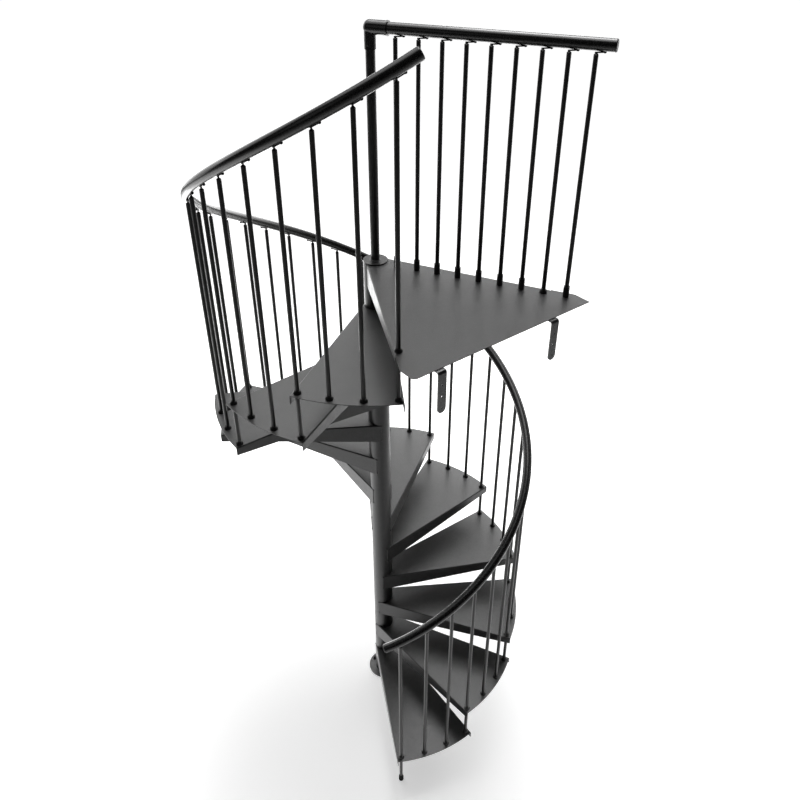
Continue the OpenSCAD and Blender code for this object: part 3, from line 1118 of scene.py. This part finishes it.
@dataclass
class Studio:
    """Camera, floor, surround and lamps."""

    camera_place: Triple = (-1.89618, -2.63799, 4.47174)
    camera_right: Triple = (0.79031, -0.61270, -0.00449)
    camera_up: Triple = (0.34541, 0.43946, 0.82919)
    sensor_mm: float = 36.0
    lens_mm: float = 35.70
    shift_y: float = -0.0317
    view_end: float = 200.0
    lamp_middle: Triple = (0.0, 0.0, 1.6)
    floor_size: float = 120.0
    floor_colour: float = 0.8
    floor_middle: Triple = (0.6, 2.5, 0.0)
    seen_ramp: tuple[float, ...] = (0.8, 2.6, 0.5, 1.0)
    mirrored_ramp: tuple[float, ...] = (4.4, 7.5, 1.0, 0.0)
    front_ramp: tuple[float, ...] = (-1.3, 0.4, 0.35, 1.0)
    white_above: Triple = (0.05, 0.33, 0.943)
    above_ramp: tuple[float, ...] = (0.75, 0.85, 0.0, 1.0)
    white_behind: Triple = (-0.397, 0.852, 0.342)
    behind_ramp: tuple[float, ...] = (0.93, 0.97, 0.0, 0.8)
    ambient: float = 0.02
    lamps: tuple[Softbox, ...] = (
        Softbox("back_panel_far_right", -30, 20, 4.5, 2.2, 0.46),
        Softbox("back_panel_right", 0, 20, 4.5, 2.2, 1.98),
        Softbox("back_panel_middle_right", 30, 20, 4.5, 2.2, 3.42),
        Softbox("back_panel_middle_left", 60, 20, 4.5, 2.2, 2.78),
        Softbox("back_panel_left", 90, 20, 4.5, 2.2, 1.28),
        Softbox("back_panel_far_left", 120, 20, 4.5, 2.2, 0.72),
        Softbox("back_panel_upper_right", 0, 42, 4.5, 2.2, 0.50),
        Softbox("back_panel_upper_left", 90, 42, 4.5, 2.2, 1.28),
        Softbox("low_panel_right", 40, -15, 3.7, 1.5, 1.28),
        Softbox("low_panel_middle", 72, -15, 3.7, 1.5, 3.64),
        Softbox("low_panel_left", 100, -15, 3.7, 1.5, 1.82),
        Softbox("high_softbox_right", 30, 64, 10.0, 4.5, 4.92),
        Softbox("high_softbox_left", 60, 64, 10.0, 4.5, 2.41),
        Softbox("high_softbox_far_left", 120, 64, 10.0, 4.5, 0.48),
        Softbox("top_softbox", 0, 88, 10.0, 4.5, 1.93),
        Softbox("middle_softbox_right", 30, 42, 10.0, 4.5, 0.14),
        Softbox("middle_softbox_left", 60, 42, 10.0, 4.5, 0.24),
        Softbox("left_softbox_low", 120, 20, 10.0, 4.5, 0.21),
        Softbox("left_softbox_side", 180, 30, 10.0, 4.5, 0.16),
    )

    def build_camera(self) -> Object:
        """The camera at the photograph's place and angle.

        Returns:
            The camera.
        """
        data = bpy.data.cameras.new("camera")
        data.sensor_width = self.sensor_mm
        data.lens = self.lens_mm
        data.shift_y = self.shift_y
        data.clip_end = self.view_end
        right, up = Vector(self.camera_right), Vector(self.camera_up)
        back = right.cross(up).normalized()
        right = up.cross(back).normalized()
        up = back.cross(right)
        camera = placed("camera", data)
        facing = Matrix((right, up, back)).transposed().to_4x4()
        camera.matrix_world = Matrix.Translation(self.camera_place) @ facing
        bpy.context.scene.camera = camera
        return camera

    def floor_material(self) -> bpy.types.Material:
        """A pale floor that shows white, with the stair's soft shadow kept near it.

        Returns:
            The material.
        """
        made = bpy.data.materials.new("pale_floor")
        g = emptied(made)
        place = g.node("ShaderNodeTexCoord", "place on the floor").outputs["Object"]
        column = g.node("ShaderNodeVectorMath", "from the column", {0: place}, operation="LENGTH")
        ends = {0: place, 1: self.floor_middle}
        middle = g.node("ShaderNodeVectorMath", "from the studio's middle", ends, operation="DISTANCE")
        forward = g.node("ShaderNodeSeparateXYZ", "place along each side", {0: place}).outputs["Y"]
        path = g.node("ShaderNodeLightPath", "ray").outputs
        direct = g.maths("MAXIMUM", "seen", path["Is Camera Ray"], path["Is Transmission Ray"])
        near = g.ramp("white away from the stair", column.outputs["Value"], self.seen_ramp)
        seen = g.maths("MULTIPLY", "seen white", direct, near)
        lit = g.ramp("white inside the studio", middle.outputs["Value"], self.mirrored_ramp)
        front = g.ramp("dimmer in front", forward, self.front_ramp)
        shared = g.maths("MULTIPLY", "white behind and dimmer in front", lit, front)
        mirrored = g.maths("MULTIPLY", "mirrored white", path["Is Glossy Ray"], shared)
        strength = g.maths("MAXIMUM", "strength", seen, mirrored)
        glow = g.node("ShaderNodeEmission", "white", {"Strength": strength}).outputs[0]
        colour = {"Color": grey(self.floor_colour)}
        matt = g.node("ShaderNodeBsdfDiffuse", "pale paint", colour).outputs[0]
        both = g.node("ShaderNodeAddShader", "paint and white", {0: matt, 1: glow}).outputs[0]
        g.node("ShaderNodeOutputMaterial", "surface", {"Surface": both})
        return made

    def build_floor(self) -> Object:
        """The floor, which isn't part of the stair.

        Returns:
            The floor.
        """
        half = self.floor_size / 2
        corners = ((-half, -half), (half, -half), (half, half), (-half, half))
        made = bmesh.new()
        made.faces.new([made.verts.new((x, y, 0)) for x, y in corners])
        mesh = bpy.data.meshes.new("floor")
        made.to_mesh(mesh)
        made.free()
        mesh.materials.append(self.floor_material())
        floor = placed("floor", mesh)
        return floor

    def build_world(self) -> bpy.types.World:
        """A surround that shows white, is mirrored as a ceiling and a back wall, and lights softly.

        Returns:
            The world.
        """
        world = bpy.data.worlds.new("studio")
        bpy.context.scene.world = world
        g = emptied(world)
        path = g.node("ShaderNodeLightPath", "ray").outputs
        seen = g.maths("MAXIMUM", "seen", path["Is Camera Ray"], path["Is Transmission Ray"])
        direction = g.node("ShaderNodeTexCoord", "direction").outputs["Generated"]
        ceiling = ("white ceiling", self.white_above, self.above_ramp)
        wall = ("white back wall", self.white_behind, self.behind_ramp)
        panels = []
        for label, middle, ends in (ceiling, wall):
            ways = {0: direction, 1: middle}
            towards = g.node("ShaderNodeVectorMath", f"towards {label}", ways, operation="DOT_PRODUCT")
            panels.append(g.ramp(label, towards.outputs["Value"], ends))
        both = g.maths("MAXIMUM", "ceiling or wall", *panels)
        mirrored = g.maths("MULTIPLY", "mirrored white", path["Is Glossy Ray"], both)
        white = g.maths("MAXIMUM", "white", seen, mirrored)
        strength = g.maths("MAXIMUM", "white or soft light", white, self.ambient)
        ground = g.node("ShaderNodeBackground", "surround", {"Color": grey(1.0), "Strength": strength})
        g.node("ShaderNodeOutputWorld", "world", {"Surface": ground.outputs[0]})
        return world

    def build(self) -> None:
        """The whole studio."""
        self.build_camera()
        self.build_floor()
        self.build_world()
        for lamp in self.lamps:
            lamp.build(Vector(self.lamp_middle))
        bpy.context.scene.view_settings.view_transform = "Standard"
        log.info("studio: %d lamps", len(self.lamps))


def main() -> None:
    """Builds the stair's looks piece by piece."""
    logging.basicConfig(level=logging.INFO, format="%(name)s %(message)s")
    Studio().build()
    FrameDressing().dress(frame["nodes"])
    rails = Handrails(PLAN)
    rails.build_spiral()
    rails.build_plugs()
    rails.build_elbow_screws()
    RailClips(PLAN).build()
    fixings = TreadFixings(PLAN)
    fixings.build_bolts()
    fixings.build_welds()
    # dark lumps of painted shade at the folds' inner corners
    fixings.build_corner_shade_lumps()
    foot = ColumnFoot(PLAN)
    foot.build_anchors()
    foot.build_welds()
    LegFoot(PLAN).build()
    BracketBolts(PLAN).build()
    CollarScrews(PLAN).build()


if __name__ == "__main__":
    main()
